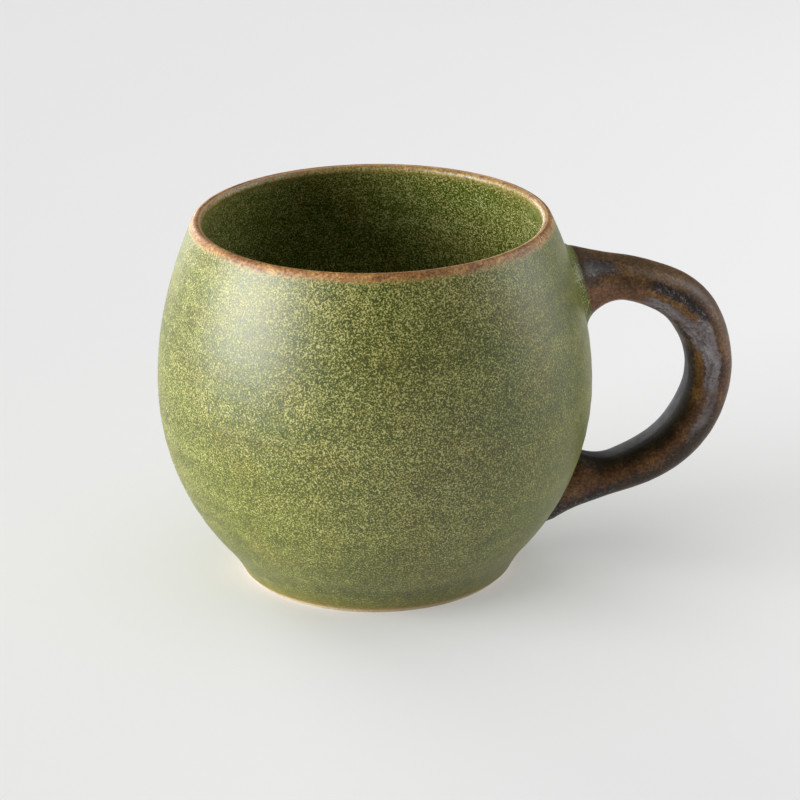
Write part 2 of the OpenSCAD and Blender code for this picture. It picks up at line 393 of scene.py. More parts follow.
def foot_section():
    """The bare foot: from the recess's ceiling, round the ring that stands, to the coated wall."""
    recess = [(r, RECESS_Z) for r in (6, 12, 18, 23)]
    recess += arc_points((RECESS_R - 0.8, RECESS_Z - 0.8, 0.8), math.pi / 2, 0, 6)
    recess += [(RECESS_R + 0.02, 1.2), (RECESS_R + 0.05, 0.7)]
    ring = arc_points((FOOT_IN_R + 0.45, 0.45, 0.45), math.pi, 1.5 * math.pi, 6)
    ring += [(26.6, 0.0), (27.6, 0.0)]
    ring += arc_points((FOOT_OUT_R - 0.5, 0.5, 0.5), -math.pi / 2, -0.12, 8)
    return recess + ring


def clay_cup():
    wall = [wall_point(z, GLAZE) for z in spaced(GLAZE_EDGE_Z, RIM_SEAM_Z, 1.2)]
    section = foot_section() + wall + lip_section(GLAZE, 0.4)[1:]
    section += cavity_section(GLAZE, 20, 26)[1:]
    rings = revolved(section, wobble=lambda z, angle: -INSET * smooth(0, 3, z))
    return solid("cup_body_clay", rings, (0, 0, RECESS_Z), (0, 0, FLOOR_Z - GLAZE))


def base_coat():
    """The coat on the ceiling of the recess, with a rounded edge."""
    top = RECESS_Z - 0.02
    low = RECESS_Z - GLAZE
    section = [(r, top) for r in (8, 16, 21, 23.9)]
    section += arc_points((23.9, (top + low) / 2, (top - low) / 2), math.pi / 2, -math.pi / 2, 8)
    section += [(r, low) for r in (21, 16, 8)]
    rings = revolved(section, around=128)[:, ::-1]
    return solid("base_glaze_coat", rings, (0, 0, top), (0, 0, low))


# ---- The strap ----


def bend_angle(s):
    """How far the strap has turned, in radians, at a length along it, with its bends eased."""
    turned_so_far = 0.0
    start = UPPER_RUN
    for radius, sweep in BENDS:
        length = radius * math.radians(sweep)
        turned_so_far += (eased(s - start) - eased(s - start - length)) / radius
        start += length
    return turned_so_far


def eased(d):
    """max(d, 0) with its corner rounded over BEND_BLUR to each side."""
    if abs(d) >= BEND_BLUR:
        return max(d, 0.0)
    return (d + BEND_BLUR) ** 2 / (4 * BEND_BLUR)


STRAP_LENGTH = UPPER_RUN + LOWER_RUN + sum(r * math.radians(a) for r, a in BENDS)
PATH_STEP = 0.25


def strap_path():
    """Points of the strap's centre line and its outward directions, PATH_STEP apart."""
    x, z = HANDLE_X - UPPER_RUN - STRAP_INSET, HANDLE_Z
    points, normals = [], []
    for i in range(int(STRAP_LENGTH / PATH_STEP) + 1):
        angle = bend_angle(i * PATH_STEP)
        points.append((x, 0.0, z))
        normals.append((math.sin(angle), 0.0, math.cos(angle)))
        middle = bend_angle((i + 0.5) * PATH_STEP)
        x += PATH_STEP * math.cos(middle)
        z -= PATH_STEP * math.sin(middle)
    return np.array(points), np.array(normals)


def from_wall(s):
    return max(0.0, min(s, STRAP_LENGTH - s) - ROOT_DEPTH)


def flare(s):
    """How much the strap widens near its ends."""
    end = UPPER_FLARE if s < STRAP_LENGTH / 2 else LOWER_FLARE
    return end * max(0.0, 1 - from_wall(s) / FLARE_LENGTH) ** 2


def face_flare(s, inner):
    """How much the strap thickens near its ends: mostly on its inner face."""
    upper = s < STRAP_LENGTH / 2
    if inner:
        swell, reach, most = UPPER_INNER_FLARE if upper else LOWER_INNER_FLARE
        return min(swell * max(0.0, 1 - from_wall(s) / reach) ** 2, most)
    swell = UPPER_OUTER_FLARE if upper else LOWER_OUTER_FLARE
    return swell * max(0.0, 1 - from_wall(s) / FLARE_LENGTH) ** 2


def bell(v, middle, width):
    return math.exp(-(((v - middle) / width) ** 2))


def half_thickness(s):
    run_t = UPPER_RUN_T + (LOWER_RUN_T - UPPER_RUN_T) * s / STRAP_LENGTH
    return (run_t + (STRAP_T - run_t) * math.sin(math.pi * s / STRAP_LENGTH) ** 2) / 2


def inner_swell(s):
    """Extra thickness on the strap's inner face, which hands have pressed a little uneven."""
    return 0.55 * bell(s, 36, 6) - 0.45 * bell(s, 53, 7)


def outer_swell(s):
    """Extra thickness on the strap's outer face: a little more over the bend, less on the lower run."""
    return 0.5 * bell(s, 33, 8) - 0.35 * bell(s, 86, 16)


def oval(s, angle):
    """A point of the strap's section: (outwards, sideways) from the centre line."""
    c, w = math.cos(angle), math.sin(angle)
    power = 2 / (2.3 - 0.1 * c)
    out = math.copysign(abs(c) ** power, c)
    side = math.copysign(abs(w) ** power, w)
    half_t = half_thickness(s) + face_flare(s, c < 0) + (inner_swell(s) if c < 0 else outer_swell(s))
    return half_t * out, (STRAP_W / 2 + flare(s)) * side


def strap_grid():
    """Every point of the plain strap, as an array of [length][angle]."""
    points, normals = strap_path()
    grid = np.zeros((len(points), STRAP_AROUND, 3))
    for i in range(len(points)):
        for j in range(STRAP_AROUND):
            out, side = oval(i * PATH_STEP, 2 * math.pi * j / STRAP_AROUND)
            grid[i, j] = points[i] + out * normals[i]
            grid[i, j, 1] = side
    return grid


def grid_at(grid, row, j):
    """A point of the grid at a row that need not be whole."""
    i = min(max(int(row), 0), len(grid) - 2)
    return grid[i, j] * (i + 1 - row) + grid[i + 1, j] * (row - i)


def leaves_wall(grid, j, height, last):
    """The row where the strap's surface comes out of the wall by a height, from either end."""
    rows = range(len(grid) // 2, 0, -1) if not last else range(len(grid) // 2, len(grid) - 1)
    step = 1 if last else -1
    for i in rows:
        h0, h1 = above_wall(grid[i, j]), above_wall(grid[i + step, j])
        if h1 <= height:
            return i + step * (h0 - height) / (h0 - h1)
    return float(rows[-1])


def fillet_height(angle, last):
    """How far off the wall the fillet begins: further on the strap's inner side."""
    inward = max(-math.cos(angle), 0.0)
    return 1.3 + 0.9 * inward**2 if last else 2.4 + 0.8 * inward**2


def fillet_spread(angle, last):
    """How far the fillet reaches over the wall: more above and below the upper root."""
    out = math.cos(angle)
    inward = max(-out, 0.0)
    if last:
        return 0.9 + 0.2 * out + 1.4 * inward**2
    return 1.7 + 0.9 * max(out, 0.0) ** 2 + 0.7 * inward**2


def root_fillet(grid, starts, last):
    """Rings that carry the strap's surface round on to the wall, from the strap outwards."""
    sign = 1 if last else -1
    centre = np.mean([grid_at(grid, starts[j], j) for j in range(STRAP_AROUND)], axis=0)
    rings = []
    for k in range(1, FILLET_ROWS + 1):
        turn = math.pi / 2 * k / FILLET_ROWS
        ring = []
        for j in range(STRAP_AROUND):
            start = grid_at(grid, starts[j], j)
            along = grid_at(grid, starts[j] + sign * 2, j) - start
            along /= np.linalg.norm(along)
            normal = np.array([start[0], start[1], 0.0])
            nr, nz = outer_normal(start[2])
            normal = normal / np.linalg.norm(normal) * nr + np.array([0, 0, nz])
            away = start - centre
            away -= normal * (away @ normal)
            away /= np.linalg.norm(away)
            spread = fillet_spread(2 * math.pi * j / STRAP_AROUND, last)
            height = fillet_height(2 * math.pi * j / STRAP_AROUND, last)
            p = start + along * height * math.sin(turn) + away * spread * (1 - math.cos(turn))
            sunk = FILLET_EDGE_SINK * smooth(0.8, 1, k / FILLET_ROWS)
            ring.append(on_wall(p, height * (1 - math.sin(turn)) - sunk))
        rings.append(ring)
    return rings


def strap_rings():
    """All rings of the strap's surface, from the upper root to the lower one, and their lengths."""
    grid = strap_grid()
    angles = [2 * math.pi * j / STRAP_AROUND for j in range(STRAP_AROUND)]
    first = [leaves_wall(grid, j, fillet_height(a, False), False) for j, a in enumerate(angles)]
    last = [leaves_wall(grid, j, fillet_height(a, True), True) for j, a in enumerate(angles)]
    rings = root_fillet(grid, first, False)[::-1]
    lengths = [[f * PATH_STEP for f in first]] * FILLET_ROWS
    for i in range(STRAP_ROWS + 1):
        rows = [first[j] + (last[j] - first[j]) * i / STRAP_ROWS for j in range(STRAP_AROUND)]
        rings.append([grid_at(grid, rows[j], j) for j in range(STRAP_AROUND)])
        lengths.append([row * PATH_STEP for row in rows])
    rings += root_fillet(grid, last, True)
    lengths += [[f * PATH_STEP for f in last]] * FILLET_ROWS
    return np.array(rings), np.array(lengths)


def grid_normals(rings):
    """Outward directions of a tube's surface."""
    along = np.gradient(rings, axis=0)
    round_it = np.roll(rings, -1, axis=1) - np.roll(rings, 1, axis=1)
    normals = np.cross(along, round_it)
    return normals / np.linalg.norm(normals, axis=2, keepdims=True)


def pressed(rings, normals):
    """The strap's surface with the slight unevenness of a pulled strap, always inwards."""
    out = rings.copy()
    rows = len(rings)
    for i in range(rows):
        from_end = min(i, rows - 1 - i)
        fade = smooth(FILLET_ROWS, FILLET_ROWS + 14, from_end)
        for j in range(STRAP_AROUND):
            p = Vector(rings[i, j])
            dent = 0.5 + 0.5 * noise.noise(p * 0.11) + 0.18 * noise.noise(p * 0.35)
            out[i, j] -= normals[i, j] * STRAP_DENT * fade * min(max(dent, 0.0), 1.3)
    return out


def floats(piece, name, values):
    """Stores one number per vertex, for the piece's material."""
    layer = piece.data.attributes.new(name, "FLOAT", "POINT")
    layer.data.foreach_set("value", np.asarray(values, np.float32).ravel())


def strap_coat(rings, lengths):
    normals = grid_normals(rings)
    outer = pressed(rings, normals)
    inner = outer - normals * GLAZE
    piece, used = shell("handle_glaze_coat", outer[:, ::-1], inner[:, ::-1])
    angles = 2 * np.pi * np.arange(STRAP_AROUND) / STRAP_AROUND
    around = np.broadcast_to(angles[None], rings.shape[:2])[:, ::-1]
    height = np.array([[above_wall(p) for p in ring] for ring in outer])[:, ::-1]
    twice = [np.concatenate([a.ravel(), a.ravel()])[used]
             for a in (lengths[:, ::-1], np.cos(around), np.sin(around), height)]
    for name, values in zip(("along", "out", "side", "from_wall"), twice):
        floats(piece, name, values)
    return piece, inner


def concentric(ring, centre, height, shares):
    """Rings between a ring and its centre, all at one height over the wall."""
    return [[on_wall(centre + (p - centre) * k, height) for p in ring] for k in shares]


def slip_pad(name, rings):
    """The pad of slip between the wall and one end of the strap. rings run from the wall outwards."""
    centre = np.mean(rings[0], axis=0)
    shares = (0.2, 0.45, 0.7, 0.9)
    deep = concentric(rings[0], centre, -GLAZE, shares)
    face = concentric(rings[-1], centre, 0.7, shares[::-1])
    stack = np.array(deep + list(rings) + face)
    return solid(name, stack, on_wall(centre, -GLAZE), on_wall(centre, 0.7))


def inside(p, outline):
    """Whether a point is inside a closed outline."""
    odd = False
    for (x0, y0), (x1, y1) in zip(outline, np.roll(outline, -1, axis=0)):
        if (y0 > p[1]) != (y1 > p[1]) and p[0] < (x1 - x0) * (p[1] - y0) / (y1 - y0) + x0:
            odd = not odd
    return odd


def root_outline(ring):
    """The opening in the green coat under one root, well inside the strap's foot."""
    flat = np.array(ring)[:, 1:]
    centre = flat.mean(axis=0)
    return centre + (flat - centre) * 0.8


# ---- Material making ----


class Graph:
    """Makes the nodes of one material."""

    def __init__(self, name):
        self.material = bpy.data.materials.new(name)
        self.material.use_nodes = True
        self.tree = self.material.node_tree
        self.tree.nodes.clear()
        self.shader = self.add("ShaderNodeBsdfPrincipled")
        output = self.add("ShaderNodeOutputMaterial")
        self.tree.links.new(self.shader.outputs[0], output.inputs[0])
        self.place = self.add("ShaderNodeTexCoord").outputs["Object"]

    def add(self, kind, **settings):
        node = self.tree.nodes.new(kind)
        for key, value in settings.items():
            setattr(node, key, value)
        return node

    def feed(self, socket, value):
        if isinstance(value, bpy.types.NodeSocket):
            self.tree.links.new(value, socket)
        else:
            socket.default_value = value

    def math(self, operation, *values, clamp=False):
        node = self.add("ShaderNodeMath", operation=operation, use_clamp=clamp)
        for socket, value in zip(node.inputs, values):
            self.feed(socket, value)
        return node.outputs[0]

    def noise(self, scale, detail=2.0, roughness=0.5, distortion=0.0, place=None):
        """Noise with about this many grains to the metre."""
        node = self.add("ShaderNodeTexNoise")
        self.feed(node.inputs["Vector"], place or self.place)
        node.inputs["Scale"].default_value = scale
        node.inputs["Detail"].default_value = detail
        node.inputs["Roughness"].default_value = roughness
        node.inputs["Distortion"].default_value = distortion
        return node.outputs["Fac"]

    def stretched(self, x, y, z):
        """The object's coordinates scaled differently along each axis."""
        node = self.add("ShaderNodeMapping")
        self.feed(node.inputs["Vector"], self.place)
        node.inputs["Scale"].default_value = (x, y, z)
        return node.outputs[0]

    def range(self, value, low, high, to_low=0.0, to_high=1.0, smooth_step=False):
        node = self.add("ShaderNodeMapRange")
        node.interpolation_type = "SMOOTHSTEP" if smooth_step else "LINEAR"
        for socket, v in zip(node.inputs, (value, low, high, to_low, to_high)):
            self.feed(socket, v)
        return node.outputs[0]

    def band(self, value, low, high, soft):
        """1 between low and high, fading to 0 over twice soft at each end."""
        rise = self.range(value, low - soft, low + soft, smooth_step=True)
        fall = self.range(value, high - soft, high + soft, 1.0, 0.0, smooth_step=True)
        return self.math("MULTIPLY", rise, fall)

    def mix(self, share, a, b):
        node = self.add("ShaderNodeMix", data_type="RGBA")
        self.feed(node.inputs[0], share)
        self.feed(node.inputs[6], a)
        self.feed(node.inputs[7], b)
        return node.outputs[2]

    def ramp(self, value, stops):
        """A colour from a value, through (position, colour) stops."""
        node = self.add("ShaderNodeValToRGB")
        self.feed(node.inputs[0], value)
        marks = node.color_ramp.elements
        while len(marks) < len(stops):
            marks.new(0.5)
        for mark, (position, colour) in zip(marks, stops):
            mark.position = position
            mark.color = colour
        return node.outputs[0]

    def attribute(self, name):
        return self.add("ShaderNodeAttribute", attribute_name=name).outputs["Fac"]

    def split(self):
        """The object's coordinates one by one, in millimetres."""
        node = self.add("ShaderNodeSeparateXYZ")
        self.feed(node.inputs[0], self.place)
        return [self.math("MULTIPLY", node.outputs[axis], 1 / MM) for axis in "XYZ"]

    def height(self):
        """Height over the table, in millimetres."""
        return self.split()[2]

    def sideways(self):
        """Distance from the YZ plane towards the handle, in millimetres."""
        return self.split()[0]

    def axis_distance(self):
        """Distance from the cup's axis, in millimetres."""
        x, y, _ = self.split()
        x2 = self.math("MULTIPLY", x, x)
        y2 = self.math("MULTIPLY", y, y)
        return self.math("SQRT", self.math("ADD", x2, y2))

    def weighted(self, value, weight):
        """How far a value is off 0.5, times a weight."""
        return self.math("MULTIPLY", self.math("SUBTRACT", value, 0.5), weight)

    def bump(self, value, strength, distance_mm):
        node = self.add("ShaderNodeBump")
        node.inputs["Strength"].default_value = strength
        node.inputs["Distance"].default_value = distance_mm * MM
        self.feed(node.inputs["Height"], value)
        self.feed(self.shader.inputs["Normal"], node.outputs[0])

    def finish(self, colour, roughness, specular=0.5):
        self.feed(self.shader.inputs["Base Color"], colour)
        self.feed(self.shader.inputs["Roughness"], roughness)
        self.shader.inputs["Specular IOR Level"].default_value = specular
        return self.material


def srgb(r, g, b):
    """A colour for a node from its 0 to 255 screen values."""
    def linear(v):
        v /= 255
        return v / 12.92 if v <= 0.04045 else ((v + 0.055) / 1.055) ** 2.4
    return (linear(r), linear(g), linear(b), 1.0)


def speckled_green(g, gain=(1, 1, 1), side_contrast=0.5):
    """The green glaze's colour, roughness and surface height.

    gain is how pale it is, and side_contrast is how much of the speckle's contrast is left
    on the side of the cup where the handle is. The other side has a little more. The lowered
    contrast on both sides is painted sheen: it stands in for the lamps' reflections over the glaze
    there.
    """
    def tone(r, green, b):
        return tuple(a * k for a, k in zip(srgb(r, green, b), (*gain, 1)))

    contrast = g.range(g.height(), 4, 42, 0.5, 1.0)
    # Painted sheen: the speckle's contrast is lowered towards the left and right sides, where the
    # lamps' reflections veil the glaze
    sideways = g.sideways()
    contrast = g.math("MULTIPLY", contrast, g.range(sideways, 8, 32, 1.0, side_contrast))
    contrast = g.math("MULTIPLY", contrast, g.range(sideways, -34, -12, side_contrast + 0.1, 1.0))
    grain = g.weighted(g.noise(2750, 3.0, 0.7), 3.5)
    grain = g.math("ADD", g.math("MULTIPLY", grain, contrast), 0.5)
    clumps = g.noise(330, 2.0, 0.5, 0.6)
    drift = g.noise(38, 3.0, 0.6, 0.3)
    bands = g.noise(1.0, 3.0, 0.55, 0.0, place=g.stretched(14, 14, 210))
    level = g.math("ADD", grain, g.weighted(clumps, 0.25))
    level = g.math("ADD", level, g.weighted(bands, 0.26))
    level = g.math("ADD", level, g.weighted(drift, 0.16))
    cool = g.ramp(level, [
        (0.28, tone(52, 62, 3)),
        (0.42, tone(73, 82, 9)),
        (0.52, tone(94, 99, 24)),
        (0.62, tone(122, 125, 48)),
        (0.74, tone(156, 156, 86)),
        (0.88, tone(184, 180, 116)),
    ])
    warm = g.ramp(level, [
        (0.28, tone(60, 60, 4)),
        (0.42, tone(82, 82, 9)),
        (0.52, tone(102, 99, 22)),
        (0.62, tone(130, 124, 46)),
        (0.74, tone(162, 154, 82)),
        (0.88, tone(188, 178, 110)),
    ])
    ochre = g.noise(75, 3.0, 0.6, 0.4)
    colour = g.mix(g.range(ochre, 0.45, 0.72, 0.0, 0.8), cool, warm)
    roughness = g.range(level, 0.35, 0.7, 0.40, 0.50)
    return colour, roughness, level


def glaze_surface(g, colour, roughness, level, depth_mm=0.045, specular=0.68):
    """Sets a glaze's colours and its orange-peel surface."""
    peel = g.noise(420, 2.0, 0.5)
    grain = g.math("MULTIPLY", level, 0.5)
    g.bump(g.math("ADD", peel, grain), 0.8, depth_mm)
    return g.finish(colour, roughness, specular)


def strays(g, value, coarse, reach, fine_share=0.7):
    """A value carried off its mark by noise, so that what it bounds has a ragged edge."""
    wide = g.weighted(g.noise(coarse, 3.0, 0.6, 0.4), reach)
    fine = g.weighted(g.noise(1500, 2.0, 0.6, 0.2), reach * fine_share)
    return g.math("ADD", value, g.math("ADD", wide, fine))


def iron_brown(g):
    """The brown where the glaze is thin and the iron in the clay shows."""
    fine = g.noise(1600, 3.0, 0.65, 0.5)
    patch = g.noise(170, 3.0, 0.6, 0.5)
    level = g.math("ADD", fine, g.weighted(patch, 0.5))
    return g.ramp(level, [
        (0.34, srgb(100, 60, 24)),
        (0.47, srgb(140, 92, 40)),
        (0.58, srgb(168, 121, 60)),
        (0.72, srgb(196, 160, 104)),
    ])


# Heights in millimetres between which the glaze breaks to ochre, and to brown, over the lip, and
# between which a painted highlight, a pale line, lies on the top of the lip
OCHRE_OUTSIDE = (78.2, 78.9)
OCHRE_INSIDE = (77.3, 79.3)
BROWN_LIP = (78.5, 79.5)
CREST_HIGHLIGHT = (79.3, 79.7)


def thin_over_lip(g, colour, roughness):
    """A glaze's colour and roughness where it breaks to ochre, and then to brown, over the lip, with a
    painted highlight: a pale cream line along the top of the lip, on its inner side.
    """
    from_axis = g.axis_distance()
    inner = g.range(from_axis, LIP_X + 0.2, LIP_X - 0.8)
    height = strays(g, g.height(), 120, 1.3, 2.0)
    specks = g.range(g.noise(2100, 2.0, 0.6, 0.3), 0.38, 0.62)
    ochre = g.mix(specks, srgb(92, 84, 18), srgb(182, 164, 100))
    outside = g.range(height, *OCHRE_OUTSIDE, smooth_step=True)
    inside = g.math("MULTIPLY", g.range(height, *OCHRE_INSIDE, smooth_step=True), 0.85)
    share = g.math("ADD", outside, g.math("MULTIPLY", inner, g.math("SUBTRACT", inside, outside)))
    colour = g.mix(share, colour, ochre)
    lowered = g.math("SUBTRACT", height, g.math("MULTIPLY", inner, 0.85))
    brown = g.range(lowered, *BROWN_LIP, smooth_step=True)
    colour = g.mix(brown, colour, iron_brown(g))
    # Painted highlight: a pale cream line along the top of the lip, on its inner side, where the lamps
    # glint on it
    crest_highlight = g.math("MULTIPLY", g.band(from_axis, LIP_X - 0.6, LIP_X - 0.25, 0.15),
                   g.range(g.height(), *CREST_HIGHLIGHT))
    colour = g.mix(g.math("MULTIPLY", crest_highlight, 0.55), colour, srgb(206, 182, 142))
    return colour, g.math("ADD", roughness, g.math("MULTIPLY", brown, 0.14))


def foot_share(g):
    """How much of the amber line shows where the glaze thins out over the foot."""
    ragged = g.noise(700, 2.0, 0.6, 0.3)
    height = g.math("ADD", g.height(), g.weighted(ragged, 0.8))
    return g.range(height, 1.75, 1.2)


def green_material(name):
    g = Graph(name)
    colour, roughness, level = speckled_green(g)
    colour, roughness = thin_over_lip(g, colour, roughness)
    colour = g.mix(g.range(g.height(), 5.5, 1.5, 0.0, 0.55), colour, srgb(118, 108, 38))
    colour = g.mix(foot_share(g), colour, srgb(156, 122, 60))
    return glaze_surface(g, colour, roughness, level)


# Painted light: the inside's glaze is made paler than the outside's, which brightens the shaded inside.
# Red, green and blue times these
LINER_LIGHT_GAIN = (1.22, 1.27, 1.7)


def liner_material():
    g = Graph("liner_glaze")
    colour, roughness, level = speckled_green(g, LINER_LIGHT_GAIN, side_contrast=0.95)
    colour, roughness = thin_over_lip(g, colour, g.math("MULTIPLY", roughness, 0.85))
    return glaze_surface(g, colour, roughness, level)


def iron_tones(g):
    """The strap's brown glaze: dark pools and lighter, redder places where it is thin."""
    fine = g.noise(1700, 3.0, 0.65, 0.3)
    patch = g.noise(150, 3.0, 0.6, 0.5)
    level = g.math("ADD", g.weighted(fine, 0.8), g.range(patch, 0.0, 1.0, 0.27, 0.73))
    brown = g.ramp(level, [
        (0.32, srgb(38, 27, 15)),
        (0.46, srgb(64, 46, 28)),
        (0.56, srgb(88, 64, 38)),
        (0.70, srgb(130, 100, 60)),
    ])
    amber = g.ramp(level, [
        (0.34, srgb(92, 60, 27)),
        (0.50, srgb(134, 94, 47)),
        (0.66, srgb(176, 134, 78)),
    ])
    rust = g.ramp(level, [
        (0.32, srgb(78, 46, 27)),
        (0.50, srgb(114, 74, 45)),
        (0.68, srgb(154, 108, 70)),
    ])
    return brown, amber, rust, level


def crystal_tones(g):
    """Blue-black glaze with pale grey crystals grown in it."""
    crystals = g.noise(1300, 2.0, 0.6, 0.8)
    return g.ramp(crystals, [
        (0.42, srgb(32, 27, 27)),
        (0.54, srgb(52, 46, 45)),
        (0.62, srgb(90, 86, 86)),
        (0.72, srgb(150, 147, 148)),
    ])


def lavender_tones(g, along, out, side):
    """A smooth grey-lavender skin that ran along the strap in streaks."""
    run = g.add("ShaderNodeCombineXYZ")
    g.feed(run.inputs[0], g.math("MULTIPLY", along, 0.07))
    g.feed(run.inputs[1], g.math("MULTIPLY", out, 2.2))
    g.feed(run.inputs[2], g.math("MULTIPLY", side, 2.2))
    streaks = g.noise(2.4, 3.0, 0.6, 0.3, place=run.outputs[0])
    grain = g.noise(1500, 2.0, 0.6, 0.3)
    level = g.math("ADD", streaks, g.weighted(grain, 0.7))
    return g.ramp(level, [
        (0.28, srgb(104, 90, 84)),
        (0.50, srgb(144, 134, 136)),
        (0.72, srgb(182, 176, 180)),
    ])


def handle_material():
    g = Graph("handle_glaze")
    side = g.attribute("side")
    shift = g.range(side, -0.1, 0.4, 0.0, 9.0)
    along = strays(g, g.math("ADD", g.attribute("along"), shift), 120, 5.0)
    out = strays(g, g.attribute("out"), 170, 0.55)
    brown, amber, rust, level = iron_tones(g)

    def patch(along_low, along_high, out_low, out_high, soft_along=2.0, soft_out=0.1):
        """A stretch of the strap, in millimetres, between two lines. out is 1 on the outer face."""
        stretch = g.band(along, along_low, along_high, soft_along)
        return g.math("MULTIPLY", stretch, g.band(out, out_low, out_high, soft_out))

    lavender = lavender_tones(g, along, out, side)
    crystal = crystal_tones(g)
    lower_shade = srgb(46, 37, 30)
    layers = [
        # Thin brown on the top run and its red underside
        (amber, 0.3, patch(10, 30, -0.1, 2.0)),
        (rust, 0.8, patch(2, 24, -0.85, 0.02)),
        # Thin places along the lower run, the back of the bend, and the shade under the lower run
        (rust, 0.5, patch(50, 98, -0.6, -0.05, 3.0)),
        (amber, 0.4, patch(60, 96, -0.45, -0.2, 3.0)),
        (rust, 0.35, patch(30, 62, 0.3, 2.0, 6.0)),
        (lower_shade, 0.55, patch(58, 100, 0.08, 2.0, 6.0, 0.15)),
        # The run of lavender down the outer bend
        (lavender, 0.75, patch(22, 44, -0.7, -0.24, 2.0, 0.07)),
        (lavender, 1.0, patch(34, 54, -0.38, 0.18, 2.0, 0.06)),
        (lavender, 0.45, patch(54, 64, -0.2, 0.15, 3.0)),
        # Dark pools with crystals at the upper root and over the bend
        (crystal, 0.9, patch(6.2, 13.5, 0.38, 0.9, 0.8)),
        (crystal, 0.9, patch(21.5, 37, 0.02, 0.38, 1.5, 0.07)),
        # Amber streaks beside the lavender
        (amber, 1.0, patch(20, 35, -0.2, 0.0, 1.5, 0.05)),
        (amber, 0.85, patch(42, 57, -0.82, -0.44, 2.0, 0.06)),
    ]
    colour = brown
    for tones, share, area in layers:
        colour = g.mix(g.math("MULTIPLY", area, share), colour, tones)

    # Painted shade: the strap's inner face along the bend and the lower run is darkened
    inner = g.math("MULTIPLY", g.band(along, 43, 92, 4.0), g.range(out, -0.72, -0.9))
    edge = strays(g, side, 300, 0.12)
    colour = g.mix(g.math("MULTIPLY", inner, 0.7), colour, srgb(48, 43, 34))
    colour = g.mix(g.math("MULTIPLY", patch(86, 102, 0.0, 2.0, 2.0, 0.2), 0.7), colour, crystal)
    # Painted reflection: a grey-blue sheen along the edge of the strap's inner face
    sheen = g.mix(g.noise(500, 3.0, 0.6), srgb(62, 58, 61), srgb(122, 120, 130))
    colour = g.mix(g.math("MULTIPLY", inner, g.range(edge, -0.22, -0.08)), colour, sheen)

    # Painted sheen: the green on the strap's roots is made paler and bluer, in place of the body's
    # stronger reflection, since this glaze reflects less
    green, roughness, grain = speckled_green(g, (1.1, 1.1, 1.6))
    height = strays(g, g.attribute("from_wall"), 260, 1.1)
    colour = g.mix(g.range(height, 1.2, 1.9, smooth_step=True), green, colour)
    roughness = g.math("ADD", g.range(level, 0.35, 0.7, 0.50, 0.40), g.math("MULTIPLY", inner, 0.3))
    return glaze_surface(g, colour, roughness, grain, specular=0.33)


def clay_material(name, light, dark):
    """Bare fired stoneware: fine grain, a few darker specks, a sandy surface."""
    g = Graph(name)
    grain = g.noise(1800, 4.0, 0.7)
    stain = g.noise(60, 3.0, 0.6)
    level = g.math("ADD", grain, g.weighted(stain, 0.6))
    colour = g.ramp(level, [(0.3, dark), (0.7, light)])
    g.bump(grain, 0.6, 0.06)
    return g.finish(colour, 0.85, specular=0.3)


# ---- Floor, lights and camera ----

CAMERA_TURN = math.radians(10)
CAMERA_RISE = 0.36783
CAMERA_ROLL = -0.009856
CAMERA_AIM = Vector((5.302, -0.935, 37.890))
CAMERA_DISTANCE = 759.08
CAMERA_LENS = 155.736

TOWARDS_CAMERA = Vector((-math.sin(CAMERA_TURN), -math.cos(CAMERA_TURN), 0))
TO_THE_RIGHT = Vector((math.cos(CAMERA_TURN), -math.sin(CAMERA_TURN), 0))
UPWARDS = Vector((0, 0, 1))


def make_camera():
    back = TOWARDS_CAMERA * math.cos(CAMERA_RISE) + UPWARDS * math.sin(CAMERA_RISE)
    up = UPWARDS * math.cos(CAMERA_RISE) - TOWARDS_CAMERA * math.sin(CAMERA_RISE)
    right = TO_THE_RIGHT * math.cos(CAMERA_ROLL) + up * math.sin(CAMERA_ROLL)
    up = up * math.cos(CAMERA_ROLL) - TO_THE_RIGHT * math.sin(CAMERA_ROLL)
    data = bpy.data.cameras.new("camera")
    data.sensor_width = 36.0
    data.lens = CAMERA_LENS
    data.clip_start = 0.05
    data.clip_end = 50.0
    camera = bpy.data.objects.new("camera", data)
    turn = Matrix((right, up, back)).transposed().to_4x4()
    camera.matrix_world = Matrix.Translation((CAMERA_AIM + back * CAMERA_DISTANCE) * MM) @ turn
    bpy.context.scene.collection.objects.link(camera)
    bpy.context.scene.camera = camera


# The lamps' distance, their aim and the floor's radius are in metres
LAMP_DISTANCE = 2.0
LAMP_AIM = Vector((0, 0, 0.04))
FLOOR_RADIUS = 1.4


def soft_box(name, turn, rise, width, height, radiance, distance=LAMP_DISTANCE):
    """A flat lamp that faces the mug. turn is in degrees from the camera towards its right."""
    turn, rise = math.radians(turn), math.radians(rise)
    level = TOWARDS_CAMERA * math.cos(turn) + TO_THE_RIGHT * math.sin(turn)
    place = LAMP_AIM + (level * math.cos(rise) + UPWARDS * math.sin(rise)) * distance
    data = bpy.data.lights.new(name, "AREA")
    data.shape = "RECTANGLE"
    data.size, data.size_y = width, height
    data.energy = math.pi * width * height * radiance
    lamp = bpy.data.objects.new(name, data)
    lamp.location = place
    lamp.rotation_mode = "QUATERNION"
    lamp.rotation_quaternion = (LAMP_AIM - place).to_track_quat("-Z", "Y")
    lamp.visible_camera = False
    bpy.context.scene.collection.objects.link(lamp)
    return lamp


def make_floor():
    mesh = bpy.data.meshes.new("floor")
    count = 96
    turns = [2 * math.pi * i / count for i in range(count)]
    rim = [(FLOOR_RADIUS * math.cos(a), FLOOR_RADIUS * math.sin(a), 0) for a in turns]
    faces = [(0, i + 1, (i + 1) % count + 1) for i in range(count)]
    mesh.from_pydata([(0, 0, 0)] + rim, [], faces)
    floor = bpy.data.objects.new("floor", mesh)
    bpy.context.scene.collection.objects.link(floor)
    g = Graph("floor")
    soft = g.noise(3.0, 2.0, 0.5)
    colour = g.ramp(soft, [(0.3, (0.77, 0.77, 0.77, 1)), (0.7, (0.78, 0.78, 0.78, 1))])
    mesh.materials.append(g.finish(colour, 0.9, specular=0.0))
    return floor


